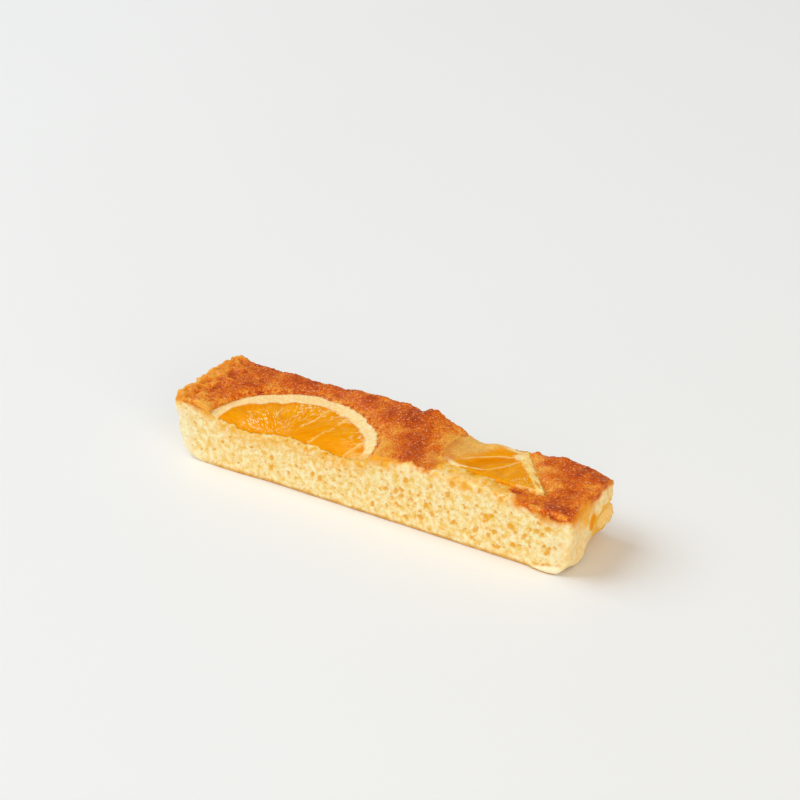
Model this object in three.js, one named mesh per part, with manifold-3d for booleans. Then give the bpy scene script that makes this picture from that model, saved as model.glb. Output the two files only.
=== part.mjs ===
// A bar of orange sponge cake, cut from a tray bake: pale crumb under a browned, craggy top,
// with two orange slices baked into the top and a small piece of orange in one end.
// Millimetres, +Z up. The bar lies along X on Z = 0, with its cut front face towards -Y.
import * as THREE from "three";
import { mergeVertices } from "three/addons/utils/BufferGeometryUtils.js";
import { ImprovedNoise } from "three/addons/math/ImprovedNoise.js";
import Module from "manifold-3d";

const wasm = await Module();
wasm.setup();
const { degToRad, lerp, smoothstep } = THREE.MathUtils;

// Driving dimensions of the bar
const LENGTH = 127.6;
const WIDTH_LEFT = 28.8;
const WIDTH_RIGHT = 26.2;
const END_HEIGHT = 18.2;
const FRONT = -(WIDTH_LEFT + WIDTH_RIGHT) / 4;

// Ends baked against the tin: corner radius at the bottom, plan skew, lean and swell
const LEFT_CORNER = 7.5;
const LEFT_SKEW = 1.0;
const LEFT_LEAN = 0.7;
const LEFT_SWELL = 1.1;
const RIGHT_CORNER_FRONT = 3.6;
const RIGHT_CORNER_BACK = 6.5;
const RIGHT_SKEW = 3.0;
const RIGHT_LEAN_FRONT = 2.2;
const RIGHT_SWELL = { z: 13, reach: 5.5, out: 1.2 };

// Risen parts of the top, a hump between the slices and a bank along the front, and a dip behind
const HUMP = { x: -2, reach: 14, back: 2.5, front: 1.0 };
const BANK = { x: 29, reach: 18, rise: 1.9, edge: -8, slope: 7 };
const DIP = { x: 30, y: 12, reach: 13, drop: 1.2 };
const CRAG = { x: 5, y: 12, reach: 2.6, rise: 1.1 };
const CRUST_LUMPS = { size: 5.5, relief: 0.75, layer: 0 };
const CRUST_GRAINS = { size: 2.75, relief: 0.375, layer: 4.5 };
const CUT_WAVE = { size: 9, relief: 0.35, layer: 7.5 };

// Lip of bottom skin that has lifted off the front face near the right end
const LIP = { x: 54.5, reach: 4.5, out: 0.7, height: 2.2 };

// Orange slices: plan radii, thickness, and the relief of pith and segments
const SLICE_THICKNESS = 3.4;
const FIT_GAP = 0.3;
const PITH_WIDTH = 4.2;
const FLESH_DROP = 0.9;
const SEGMENT_SWELL = 0.7;
const SEGMENT_SHOULDER = degToRad(9);
const LEFT_SLICE = { x: -25.6, y: -14.4, radiusX: 27.4, radiusY: 24, from: -20, to: 200 };
const LEFT_LEVEL = { z: 17.4, slopeX: 0.044, slopeY: 0.03 };
const LEFT_MEMBRANES = [12, 48, 70, 123, 154].map(degToRad);
const RIGHT_SLICE = { x: 35.5, reachLeft: 19, reachFront: 20.4, reachRight: 60, from: 170, to: 308 };
const RIGHT_LEVEL = { backZ: 16.4, rise: 3, lip: 1.2 };
const RIGHT_MEMBRANES = [205, 238, 272].map(degToRad);
const CORNER_POWER = 5;

// Piece of orange in the right end, a squarish lump cut off by the back face
const END_PIECE = { x: 57.4, y: 12.6, z: 7.2, radiusX: 5, radiusY: 9.8, radiusZ: 4.6 };
const LUMP_POWER = 3;

// Mesh steps
const SPONGE_STEPS = [76, 18, 6];
const LOW_ROWS = 1.6;
const SLICE_STEPS = [8, 44, 1];
const POCKET_STEPS = [3, 44, 1];
const LUMP_STEPS = [20, 12];
const OPEN_TOP = 40;

const perlin = new ImprovedNoise();
const relief = ({ size, relief: height, layer }, a, b) => height * perlin.noise(a / size, b / size, layer);
const bell = (t) => Math.exp(-t * t);
const back = (x) => FRONT + lerp(WIDTH_LEFT, WIDTH_RIGHT, x / LENGTH + 0.5);

// A unit box whose points are moved by place(u, v, w), each from 0 to 1, into a closed shape
function shapedBox([stepsU, stepsV, stepsW], place) {
  const box = new THREE.BoxGeometry(1, 1, 1, stepsU, stepsV, stepsW);
  box.deleteAttribute("normal");
  box.deleteAttribute("uv");
  const points = box.attributes.position;
  for (let i = 0; i < points.count; i += 1) {
    const [x, y, z] = place(points.getX(i) + 0.5, points.getY(i) + 0.5, points.getZ(i) + 0.5);
    points.setXYZ(i, x, y, z);
  }
  return mergeVertices(box);
}

// A closed geometry as a solid, without the triangles that closed up at a pole
function toSolid(geometry) {
  const index = geometry.index.array;
  const triangles = [];
  for (let i = 0; i < index.length; i += 3) {
    const [a, b, c] = index.subarray(i, i + 3);
    if (a !== b && b !== c && c !== a) triangles.push(a, b, c);
  }
  const mesh = new wasm.Mesh({
    numProp: 3,
    vertProperties: new Float32Array(geometry.attributes.position.array),
    triVerts: new Uint32Array(triangles),
  });
  return new wasm.Manifold(mesh);
}

function toMesh(name, solid, colour, roughness) {
  const { vertProperties, triVerts } = solid.getMesh();
  const geometry = new THREE.BufferGeometry();
  geometry.setAttribute("position", new THREE.BufferAttribute(vertProperties, 3));
  geometry.setIndex(new THREE.BufferAttribute(triVerts, 1));
  geometry.computeVertexNormals();
  const mesh = new THREE.Mesh(geometry, new THREE.MeshStandardMaterial({ color: colour, roughness }));
  mesh.name = name;
  return mesh;
}

// How far a round bottom corner stands in at height z
function cornerInset(z, radius) {
  const below = Math.max(radius - z, 0);
  return radius - Math.sqrt(radius * radius - below * below);
}

function spongeTop(x, y) {
  const depth = (y - FRONT) / (back(x) - FRONT);
  const hump = lerp(HUMP.front, HUMP.back, depth) * bell((x - HUMP.x) / HUMP.reach);
  const bankSide = 1 - smoothstep(y, BANK.edge, BANK.edge + BANK.slope);
  const bank = BANK.rise * bankSide * bell((x - BANK.x) / BANK.reach);
  const dip = DIP.drop * bell(Math.hypot(x - DIP.x, y - DIP.y) / DIP.reach);
  const crag = CRAG.rise * bell(Math.hypot(x - CRAG.x, y - CRAG.y) / CRAG.reach);
  const crust = relief(CRUST_LUMPS, x, y) + relief(CRUST_GRAINS, x, y);
  return END_HEIGHT + hump + bank - dip + crag + crust;
}

// The whole bar before the fruit is let in
function spongePoint(u, v, w) {
  const plainX = lerp(-LENGTH / 2, LENGTH / 2, u);
  const top = spongeTop(plainX, lerp(FRONT, back(plainX), v));
  const z = top * w ** LOW_ROWS;
  const drop = 1 - z / top;
  const leftPlan = LEFT_SKEW * v - LEFT_SWELL * Math.sin(Math.PI * v);
  const left = -LENGTH / 2 + leftPlan + LEFT_LEAN * drop + cornerInset(z, LEFT_CORNER);
  const rightLean = lerp(RIGHT_LEAN_FRONT, 0, v) * drop;
  const rightSwell = RIGHT_SWELL.out * v * bell((z - RIGHT_SWELL.z) / RIGHT_SWELL.reach);
  const rightCorner = cornerInset(z, lerp(RIGHT_CORNER_FRONT, RIGHT_CORNER_BACK, v));
  const right = LENGTH / 2 - RIGHT_SKEW * v - rightLean + rightSwell - rightCorner;
  const x = lerp(left, right, u);
  const wave = relief({ ...CUT_WAVE, layer: CUT_WAVE.layer * v }, x, z);
  const lip = LIP.out * bell((x - LIP.x) / LIP.reach) * (1 - smoothstep(z, LIP.height / 2, LIP.height));
  return [x, lerp(FRONT - lip, back(x), v) + wave, z];
}

// A plate spread round (x, y) from one angle to another, with its own edge, top and bottom
function fanPlate({ steps, x, y, from, to, edge, top, bottom }) {
  return toSolid(shapedBox(steps, (u, v, w) => {
    const angle = degToRad(lerp(from, to, v));
    const [edgeX, edgeY] = edge(angle);
    const px = x + edgeX * u;
    const py = y + edgeY * u;
    const share = { u, angle, length: Math.hypot(edgeX, edgeY) };
    return [px, py, w > 0.5 ? top(px, py, share) : bottom(px, py, share)];
  }));
}

// Pith stands level round the edge; inside it the flesh is lower and swells between membranes
function sliceRelief({ u, angle, length }, membranes) {
  const flesh = 1 - smoothstep(u * length, length - PITH_WIDTH, length - PITH_WIDTH / 2);
  const nearest = Math.min(...membranes.map((membrane) => Math.abs(angle - membrane)));
  const swell = smoothstep(nearest, 0, SEGMENT_SHOULDER);
  return flesh * u * (SEGMENT_SWELL * swell - FLESH_DROP);
}

const leftLevel = (x, y) =>
  LEFT_LEVEL.z + LEFT_LEVEL.slopeX * (x - LEFT_SLICE.x) + LEFT_LEVEL.slopeY * (y - LEFT_SLICE.y);

function leftSlice(steps, grow, top) {
  const edge = (angle) => [
    (LEFT_SLICE.radiusX + grow) * Math.cos(angle),
    (LEFT_SLICE.radiusY + grow) * Math.sin(angle),
  ];
  const bottom = (x, y) => leftLevel(x, y) - SLICE_THICKNESS - grow;
  return fanPlate({ ...LEFT_SLICE, steps, edge, top, bottom });
}

// The right slice fans out from a core near the back, square-cornered at front left
function rightEdge(angle, grow) {
  const reachX = Math.cos(angle) < 0 ? RIGHT_SLICE.reachLeft : RIGHT_SLICE.reachRight;
  const acrossX = Math.abs(Math.cos(angle)) / reachX;
  const acrossY = Math.abs(Math.sin(angle)) / RIGHT_SLICE.reachFront;
  const length = (acrossX ** CORNER_POWER + acrossY ** CORNER_POWER) ** (-1 / CORNER_POWER) + grow;
  return [length * Math.cos(angle), length * Math.sin(angle)];
}

const rightCoreY = back(RIGHT_SLICE.x) + FIT_GAP;

function rightLevel(x, y) {
  const forward = (rightCoreY - y) / RIGHT_SLICE.reachFront;
  const leftward = Math.max(RIGHT_SLICE.x - x, 0) / RIGHT_SLICE.reachLeft;
  return RIGHT_LEVEL.backZ + RIGHT_LEVEL.rise * forward + RIGHT_LEVEL.lip * leftward ** 3;
}

// Growing it moves the core off its straight right edge too
function rightSlice(steps, grow, top) {
  const outward = degToRad(RIGHT_SLICE.to + 90);
  const edge = (angle) => rightEdge(angle, 2 * grow);
  const bottom = (x, y) => rightLevel(x, y) - SLICE_THICKNESS - grow;
  const x = RIGHT_SLICE.x + grow * Math.cos(outward);
  const y = rightCoreY + grow * Math.sin(outward);
  return fanPlate({ ...RIGHT_SLICE, x, y, steps, edge, top, bottom });
}

function endPiece(grow) {
  const lump = new THREE.SphereGeometry(1, ...LUMP_STEPS);
  lump.deleteAttribute("normal");
  lump.deleteAttribute("uv");
  const points = lump.attributes.position;
  for (let i = 0; i < points.count; i += 1) {
    const [x, y, z] = [points.getX(i), points.getY(i), points.getZ(i)];
    const reach = [x, y, z].reduce((sum, c) => sum + Math.abs(c) ** LUMP_POWER, 0) ** (1 / LUMP_POWER);
    points.setXYZ(i, x / reach, y / reach, z / reach);
  }
  lump.scale(END_PIECE.radiusX + grow, END_PIECE.radiusY + grow, END_PIECE.radiusZ + grow);
  lump.translate(END_PIECE.x, END_PIECE.y, END_PIECE.z);
  return toSolid(mergeVertices(lump));
}

// The space between the two cut faces, which trims the fruit
const betweenCuts = toSolid(shapedBox([1, 1, 1], (u, v, w) => {
  const x = lerp(-LENGTH, LENGTH, u);
  return [x, lerp(FRONT, back(x), v), lerp(-OPEN_TOP, OPEN_TOP, w)];
}));

const openTop = () => OPEN_TOP;
const leftTop = (x, y, share) => leftLevel(x, y) + sliceRelief(share, LEFT_MEMBRANES);
const rightTop = (x, y, share) => rightLevel(x, y) + sliceRelief(share, RIGHT_MEMBRANES);

const sponge = toSolid(shapedBox(SPONGE_STEPS, spongePoint))
  .subtract(leftSlice(POCKET_STEPS, FIT_GAP, openTop))
  .subtract(rightSlice(POCKET_STEPS, FIT_GAP, openTop))
  .subtract(endPiece(FIT_GAP));

const cake = new THREE.Group();
cake.add(
  toMesh("sponge", sponge, 0xf2cb86, 0.8),
  toMesh("orange_slice_left", leftSlice(SLICE_STEPS, 0, leftTop).intersect(betweenCuts), 0xf2a226, 0.35),
  toMesh("orange_slice_right", rightSlice(SLICE_STEPS, 0, rightTop).intersect(betweenCuts), 0xee9a1c, 0.35),
  toMesh("orange_piece_end", endPiece(0).intersect(betweenCuts), 0xecb04f, 0.4),
);

// The origin is under the middle of the bar
const bounds = new THREE.Box3().setFromObject(cake);
const middle = bounds.getCenter(new THREE.Vector3());
cake.position.set(-middle.x, -middle.y, -bounds.min.z);

export default cake;
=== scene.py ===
# %% [markdown]
# # A bar of orange sponge cake
#
# The real thing is a bar cut from a tray bake: pale open crumb on the cut faces, a browned sugary top, two
# orange slices sunk into the top and a small piece of orange in one end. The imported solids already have
# every size and place, so the lesson starts by loading them, and each later piece is a finer copy of one of
# them.

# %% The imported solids
import math

import bpy
import numpy as np
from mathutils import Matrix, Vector, noise
from mathutils.bvhtree import BVHTree
from mathutils.kdtree import KDTree


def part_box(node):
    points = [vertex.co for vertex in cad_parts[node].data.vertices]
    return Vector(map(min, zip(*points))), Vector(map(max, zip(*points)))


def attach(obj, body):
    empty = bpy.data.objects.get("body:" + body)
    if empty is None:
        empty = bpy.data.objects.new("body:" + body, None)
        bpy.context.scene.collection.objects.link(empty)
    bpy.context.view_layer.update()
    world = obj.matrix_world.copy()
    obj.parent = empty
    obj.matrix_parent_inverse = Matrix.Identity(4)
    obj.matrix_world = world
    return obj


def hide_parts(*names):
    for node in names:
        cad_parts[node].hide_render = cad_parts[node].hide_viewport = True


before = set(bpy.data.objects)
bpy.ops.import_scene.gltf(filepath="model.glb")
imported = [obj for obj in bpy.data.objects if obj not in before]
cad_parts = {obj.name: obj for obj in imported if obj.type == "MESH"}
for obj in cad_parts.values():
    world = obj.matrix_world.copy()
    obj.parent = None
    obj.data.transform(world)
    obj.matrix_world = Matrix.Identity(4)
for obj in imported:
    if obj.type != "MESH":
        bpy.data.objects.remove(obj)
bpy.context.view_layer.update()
MM = 0.001

# %% [markdown]
# ## Camera, floor and light
#
# The picture looks down at the bar from the front right with a long lens. The camera stands where a fit of
# the bar's outline puts it. The light is a wide soft source from the left, a warmer one from the front
# right and a bright pale surround. That gives the high, even light of a food picture and one soft shadow at
# the right end.

# %% Camera
CAMERA_AZIMUTH = math.radians(31.9)
CAMERA_ELEVATION = math.radians(28.74)
CAMERA_DISTANCE = 771 * MM
CAMERA_AIM = Vector((-26.25, 45.93, 0)) * MM
PICTURE_FOCUS = 2600
PICTURE_SIDE = 800


def toward(azimuth, elevation):
    """The direction from the bar to something that looks at it, with azimuth 0 in front of it."""
    return Vector((
        math.sin(azimuth) * math.cos(elevation),
        -math.cos(azimuth) * math.cos(elevation),
        math.sin(elevation),
    ))


back_off = toward(CAMERA_AZIMUTH, CAMERA_ELEVATION)
bpy.ops.object.camera_add(
    location=CAMERA_AIM + back_off * CAMERA_DISTANCE,
    rotation=back_off.to_track_quat("Z", "Y").to_euler(),
)
camera = bpy.context.object
camera.name = "camera"
camera.data.sensor_width = 36
camera.data.lens = camera.data.sensor_width * PICTURE_FOCUS / PICTURE_SIDE
bpy.context.scene.camera = camera
print("lens:", round(camera.data.lens, 1), "mm")


# %% Colours and nodes
def linear(code):
    """A linear colour from an sRGB hex code."""
    parts = [int(code[i:i + 2], 16) / 255 for i in (0, 2, 4)]
    return (*[c / 12.92 if c <= 0.04045 else ((c + 0.055) / 1.055) ** 2.4 for c in parts], 1.0)


def add(tree, kind, feeds, **settings):
    """Adds a node, sets its properties and feeds its inputs with values or other nodes' outputs."""
    made = tree.nodes.new(kind)
    for name, value in settings.items():
        setattr(made, name, value)
    for key, value in feeds.items():
        if isinstance(value, bpy.types.NodeSocket):
            tree.links.new(value, made.inputs[key])
        else:
            made.inputs[key].default_value = value
    return made.outputs


def new_material(name):
    """An empty node material and its tree."""
    material = bpy.data.materials.new(name)
    material.use_nodes = True
    material.node_tree.nodes.clear()
    return material, material.node_tree


print("white is", linear("ffffff"))

# %% Floor
FLOOR_SIDE = 4.0
FLOOR_CELLS = 24

bpy.ops.mesh.primitive_grid_add(x_subdivisions=FLOOR_CELLS, y_subdivisions=FLOOR_CELLS, size=FLOOR_SIDE)
floor = bpy.context.object
floor.name = "floor"

# Painted white board, rubbed matt: nearly even to the eye, so that only the bar's shadow shows on it
floor_material, tree = new_material("matt_white_table")
mottle = add(tree, "ShaderNodeTexNoise", {"Scale": 30.0, "Detail": 2.0})[0]
tone = add(tree, "ShaderNodeMix", {0: mottle, 6: linear("f1f3f4"), 7: linear("f3f5f6")}, data_type="RGBA")[2]
surface = add(tree, "ShaderNodeBsdfPrincipled", {"Base Color": tone, "Roughness": 0.5})
add(tree, "ShaderNodeOutputMaterial", {"Surface": surface[0]})
floor.data.materials.append(floor_material)
print("floor:", FLOOR_SIDE, "m")


# %% Light
def soft_light(name, code, watts, width, azimuth, elevation, distance):
    """A square area light that looks at the bar."""
    aim = toward(math.radians(azimuth), math.radians(elevation))
    bpy.ops.object.light_add(
        type="AREA",
        location=aim * distance,
        rotation=aim.to_track_quat("Z", "Y").to_euler(),
    )
    light = bpy.context.object
    light.name = name
    light.data.color = linear(code)[:3]
    light.data.energy = watts
    light.data.size = width


soft_light("window", "e4f2ff", watts=49.5, width=1.95, azimuth=-75, elevation=48, distance=2.6)
soft_light("front_panel", "fff0da", watts=31, width=2.1, azimuth=48, elevation=25, distance=2.6)

world = bpy.data.worlds.new("pale_room")
world.use_nodes = True
world.node_tree.nodes["Background"].inputs["Color"].default_value = linear("fff4e6")
world.node_tree.nodes["Background"].inputs["Strength"].default_value = 0.47
bpy.context.scene.world = world
bpy.context.scene.view_settings.view_transform = "Standard"
print("two lights and a pale surround")

# %% [markdown]
# ## Tools for shaping
#
# A modeller would take a copy of the plain solid, remesh it finely and sculpt it. A script has no brush, so
# the sculpting is done by loops that read a noise at each vertex and move it. These helpers copy a solid,
# give it an even fine mesh, read and write its points in millimetres and paint a value on each vertex for
# the materials.


# %% Copies and meshes
def only(piece):
    """Selects one piece alone, so that an operator acts on nothing else."""
    bpy.ops.object.select_all(action="DESELECT")
    piece.select_set(True)
    bpy.context.view_layer.objects.active = piece


def copy_of(node, name):
    """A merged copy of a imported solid."""
    piece = bpy.data.objects.new(name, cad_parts[node].data.copy())
    bpy.context.scene.collection.objects.link(piece)
    piece.data.materials.clear()
    only(piece)
    bpy.ops.object.mode_set(mode="EDIT")
    bpy.ops.mesh.select_all(action="SELECT")
    bpy.ops.mesh.remove_doubles(threshold=0.001 * MM)
    bpy.ops.object.mode_set(mode="OBJECT")
    return piece


def even(piece, voxel):
    """Gives a piece an even mesh of that voxel size in millimetres, with overlapping shells fused."""
    only(piece)
    remesh = piece.modifiers.new("Even mesh", "REMESH")
    remesh.mode = "VOXEL"
    remesh.voxel_size = voxel * MM
    bpy.ops.object.modifier_apply(modifier=remesh.name)
    bpy.ops.object.shade_smooth()


print("tools: only, copy_of, even")


# %% Points and painted values
def read(piece):
    """Points in millimetres and unit normals of a piece's vertices, as arrays."""
    count = len(piece.data.vertices)
    points = np.empty(count * 3)
    normals = np.empty(count * 3)
    piece.data.vertices.foreach_get("co", points)
    piece.data.vertex_normals.foreach_get("vector", normals)
    return points.reshape(-1, 3) / MM, normals.reshape(-1, 3)


def write(piece, points):
    """Moves a piece's vertices to points given in millimetres."""
    piece.data.vertices.foreach_set("co", (points * MM).ravel())
    piece.data.update()


def paint(piece, **values):
    """Stores one number a vertex, from 0 to 1, under each name for the material to read."""
    for name, numbers in values.items():
        layer = piece.data.attributes.new(name, "FLOAT", "POINT")
        layer.data.foreach_set("value", np.clip(numbers, 0, 1))


print("tools: read, write, paint")


# %% Shapes of change
def ease(low, high, value):
    """A smooth step from 0 at low to 1 at high."""
    share = np.clip((value - low) / (high - low), 0, 1)
    return share * share * (3 - 2 * share)


def bell(value):
    """A smooth hill, 1 at 0 and nearly 0 from 2 on."""
    return np.exp(-value * value)


def spot(x, y, middle_x, middle_y, reach):
    """A round soft spot seen from above, 1 in its middle."""
    return bell(np.hypot(x - middle_x, y - middle_y) / reach)


def lumps(points, size, seed, octaves=1):
    """Soft noise, about -1 to 1, with lumps of that size in millimetres."""
    places = points / size + seed
    return np.array([noise.fractal(place, 1.0, 2.0, octaves) for place in places])


print("a step from 0 to 1 passes", ease(0, 1, np.array((0.25, 0.5, 0.75))))


# %% Distances
def path_gap(x, y, path):
    """Distance seen from above to a path of straight stretches."""
    gaps = []
    for (x0, y0), (x1, y1) in zip(path, path[1:]):
        run = Vector((x1 - x0, y1 - y0))
        share = np.clip(((x - x0) * run.x + (y - y0) * run.y) / run.length_squared, 0, 1)
        gaps.append(np.hypot(x - x0 - share * run.x, y - y0 - share * run.y))
    return np.min(gaps, axis=0)


def gap_to(points, chosen):
    """Distance from every point to the nearest chosen one."""
    near = KDTree(int(chosen.sum()))
    for number, point in enumerate(points[chosen]):
        near.insert(point, number)
    near.balance()
    return np.array([near.find(point)[2] for point in points])


def polar(x, y, core, away):
    """Distance from a core in millimetres, and the angle counted from the direction away from the flesh."""
    angle = np.arctan2(y - core[1], x - core[0]) - away
    return np.hypot(x - core[0], y - core[1]), angle % (2 * math.pi)


print("tools: path_gap, gap_to, polar")

# %% [markdown]
# ## Where the fruit lies
#
# Crumb runs right up to the fruit, and the crust laps over its rim. To get that without a seam, the pockets
# in the sponge are filled for the picture, and the sponge is then sunk a little wherever fruit shows. On
# the front face the fruit shows above an uneven line, and its cut edge is rounded. The top also swells and
# sags a little more than the solid does. The sponge and the fruit use the same rules, given here, so that
# they stay together.

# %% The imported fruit
SLICE_NODES = ["orange_slice_left", "orange_slice_right"]
# Rays that look for fruit start at this height and stay this far inside the cut faces
SKY = 60.0
EDGE = 0.3
DOWN = Vector((0, 0, -1))

left_low, left_high = (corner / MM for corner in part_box("orange_slice_left"))
right_low, right_high = (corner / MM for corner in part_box("orange_slice_right"))
end_low, end_high = (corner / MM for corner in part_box("orange_piece_end"))


def tree_of(nodes):
    """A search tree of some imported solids, in millimetres."""
    corners = []
    faces = []
    for node in nodes:
        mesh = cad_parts[node].data
        first = len(corners)
        corners.extend(vertex.co / MM for vertex in mesh.vertices)
        faces.extend([first + i for i in polygon.vertices] for polygon in mesh.polygons)
    return BVHTree.FromPolygons(corners, faces)


slices = tree_of(SLICE_NODES)
fruit = tree_of([*SLICE_NODES, "orange_piece_end"])


def slice_top(points):
    """Height of the slice above or below each point, or 0 where there is none."""
    inside = np.clip(points[:, 1], left_low.y + EDGE, right_high.y - EDGE)
    tops = [slices.ray_cast(Vector((x, y, SKY)), DOWN)[0] for x, y in zip(points[:, 0], inside)]
    return np.array([top.z if top else 0.0 for top in tops])


print("left slice from", left_low[:], "to", left_high[:])

# %% Swells and sags of the top
# Each one has its x and y, how far it reaches, and how far it rises or sinks
SWELLS = [
    (-62, 11, 3, 0.4), (-57.5, 14, 2.5, -1.0), (-63, -8, 4, 0.5), (-43, 14, 2.5, 0.4),
    (-31, 14, 4, 0.35), (-18, 13, 5, 1.3), (-10.5, 14, 2, 0.6), (-4.5, 14, 2.2, -0.6),
    (2.2, 13, 1.8, -1.0), (6.5, 13.5, 2.2, 0.9), (12, 14, 2, 0.4), (20, 13, 4.5, -1.5),
    (29, 13, 4, 0.5), (35.5, 13, 1.5, 0.6), (48, 11, 7, 0.7), (60.5, 11, 3, -0.8), (63, 12, 1.5, -0.6),
]
SWELL_FROM = 9
SWELL_FULL = 15


def swell(points):
    """Extra height of the top where the real bar swells or sags, on the sponge and the fruit alike."""
    x, y, z = points.T
    extra = np.zeros(len(points))
    for middle_x, middle_y, reach, rise in SWELLS:
        extra += rise * spot(x, y, middle_x, middle_y, reach)
    return extra * ease(SWELL_FROM, SWELL_FULL, z)


print("swells and sags:", len(SWELLS))

# %% The left slice's cut front edge
# Height of the crumb's edge along the front face, under the left slice
FLESH_LINE_X = (-54, -49, -46, -43, -38.5, -34, -29, -24.5, -21, -18, -14.5, -10, -6, -1, 4)
FLESH_LINE_Z = (16.8, 16.4, 15.8, 14.7, 14.6, 15.4, 16.8, 17.3, 16.8, 16.8, 16.5, 15.9, 15.9, 17.0, 19.0)
FRONT_FLAT = 0.8
FRONT_REACH = 5.0
DEEPEST_SLOPE = 4.2
SPAN_FADE = 3
ALONG = np.array((1.0, 0.0, 0.0))


def flesh_line(points):
    """Height on the front face above which the left slice shows."""
    level = np.interp(points[:, 0], FLESH_LINE_X, FLESH_LINE_Z)
    return level + 0.7 * lumps(points * ALONG, 2.6, 75.0, 3)


def slice_span(points):
    """1 along the left slice's front edge, fading out at its ends."""
    x = points[:, 0]
    return ease(left_low.x, left_low.x + SPAN_FADE, x) * ease(left_high.x, left_high.x - SPAN_FADE, x)


def rolled(points, tops):
    """How far the left slice has sunk towards its cut front edge."""
    sunk = np.clip(tops - np.interp(points[:, 0], FLESH_LINE_X, FLESH_LINE_Z), 0.5, DEEPEST_SLOPE)
    share = np.clip((points[:, 1] - left_low.y - FRONT_FLAT) / FRONT_REACH, 0, 1)
    below = tops - points[:, 2]
    in_left = (tops > 0) * slice_span(points)
    return in_left * sunk * (1 - share) ** 2 * ease(4 * sunk + 2, 0, below)


print("the flesh shows above", min(FLESH_LINE_Z), "to", max(FLESH_LINE_Z), "mm")

# %% The left slice's round edge
LEFT_RADIUS_Y = 24.0
# How far the crust laps over the slice's edge, along x
COVER_X = (-50, -40, -29, -23, -8, -3, 1)
COVER = (-0.4, 0.6, 0.9, 1.9, 1.7, 0.9, 0.5)


def left_rim(points):
    """Distance in from the left slice's round edge, seen from above."""
    across = (points[:, 0] - (left_low.x + left_high.x) / 2) / ((left_high.x - left_low.x) / 2)
    deep = (points[:, 1] - left_high.y) / LEFT_RADIUS_Y + 1
    return (1 - np.hypot(across, deep)) * LEFT_RADIUS_Y


def bareness(points):
    """Distance in from where the crust on the left slice's edge ends, below 0 under that crust."""
    reach = np.interp(points[:, 0], COVER_X, COVER) + 0.6 * lumps(points, 1.6, 63.0, 2)
    return np.where(points[:, 0] < left_high.x, left_rim(points) - reach, LEFT_RADIUS_Y)


print("the crust laps over the slice by up to", max(COVER), "mm")

# %% [markdown]
# ## The sponge
#
# The cut faces show bubbles that the knife opened, from pin pricks to holes 2 mm wide. The top is a thin
# crust with a sandy grain, crinkled along the left rim, and it hangs over the front edge near the right
# end. The solid is remeshed, and the faces that need detail are subdivided once, as a sculptor would do
# before using a fine brush.

# %% An even mesh with the pockets filled
SPONGE_VOXEL = 0.63
FILL = 0.45
# The filler of the end piece stays this far inside it, so that the fruit shows at the end and the back
FILLER_DEPTHS = {"orange_slice_left": 0.0, "orange_slice_right": 0.0, "orange_piece_end": 1.5}

sponge = copy_of("sponge", "sponge_bar")
for node, depth in FILLER_DEPTHS.items():
    filler = copy_of(node, node + "_filler")
    points, normals = read(filler)
    grown = points + normals * FILL
    grown[:, 0] = np.minimum(grown[:, 0], points[:, 0].max() + FILL - depth)
    grown[:, 1] = np.clip(grown[:, 1], points[:, 1].min(), points[:, 1].max() - depth)
    write(filler, grown)
    only(sponge)
    filler.select_set(True)
    bpy.ops.object.join()
even(sponge, SPONGE_VOXEL)
print("sponge faces:", len(sponge.data.polygons))

# %% Softened upright edges
# Foot and head of each edge, seen from above, and how far the softening reaches
EDGE_LINES = [((61.9, -14.2), (64.1, -14.2), 3.2), ((-63.0, -14.2), (-64.0, -14.2), 1.8)]
BAR_HEIGHT = 18.2
LEAST_WEIGHT = 0.05

points, _ = read(sponge)
group = sponge.vertex_groups.new(name="upright_edges")
for foot, head, reach in EDGE_LINES:
    share = points[:, 2] / BAR_HEIGHT
    gap_x = points[:, 0] - foot[0] - share * (head[0] - foot[0])
    weights = bell(np.hypot(gap_x, points[:, 1] - foot[1]) / reach)
    for i in np.flatnonzero(weights > LEAST_WEIGHT):
        group.add([int(i)], float(weights[i]), "REPLACE")
soften = sponge.modifiers.new("Soft edges", "SMOOTH")
soften.factor = 0.5
soften.iterations = 24
soften.vertex_group = group.name
only(sponge)
bpy.ops.object.modifier_apply(modifier=soften.name)
sponge.vertex_groups.clear()
print("softened upright edges:", len(EDGE_LINES))

# %% Finer faces where the detail goes
# Faces in a slice's print, this far in from its edge, stay coarse because the fruit hides them
HIDDEN_DEPTH = 0.5
HIDDEN_MARGIN = 1.2

count = len(sponge.data.polygons)
face_normals = np.empty(count * 3)
face_centres = np.empty(count * 3)
sponge.data.polygons.foreach_get("normal", face_normals)
sponge.data.polygons.foreach_get("center", face_centres)
face_normals = face_normals.reshape(-1, 3)
face_centres = face_centres.reshape(-1, 3) / MM
face_tops = slice_top(face_centres)
hidden = (face_tops > 0) & (face_centres[:, 2] > face_tops - HIDDEN_DEPTH) & (face_normals[:, 2] > 0.5)
hidden &= bareness(face_centres) > HIDDEN_MARGIN
detailed = (np.abs(face_normals[:, 1]) > 0.6) | (face_normals[:, 2] > 0.45) | (face_normals[:, 0] > 0.6)

only(sponge)
bpy.ops.object.mode_set(mode="EDIT")
bpy.ops.mesh.select_mode(type="FACE")
bpy.ops.mesh.select_all(action="DESELECT")
bpy.ops.object.mode_set(mode="OBJECT")
sponge.data.polygons.foreach_set("select", detailed & ~hidden)
bpy.ops.object.mode_set(mode="EDIT")
bpy.ops.mesh.subdivide(number_cuts=1)
bpy.ops.object.mode_set(mode="OBJECT")
print("sponge faces after subdividing:", len(sponge.data.polygons))

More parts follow.
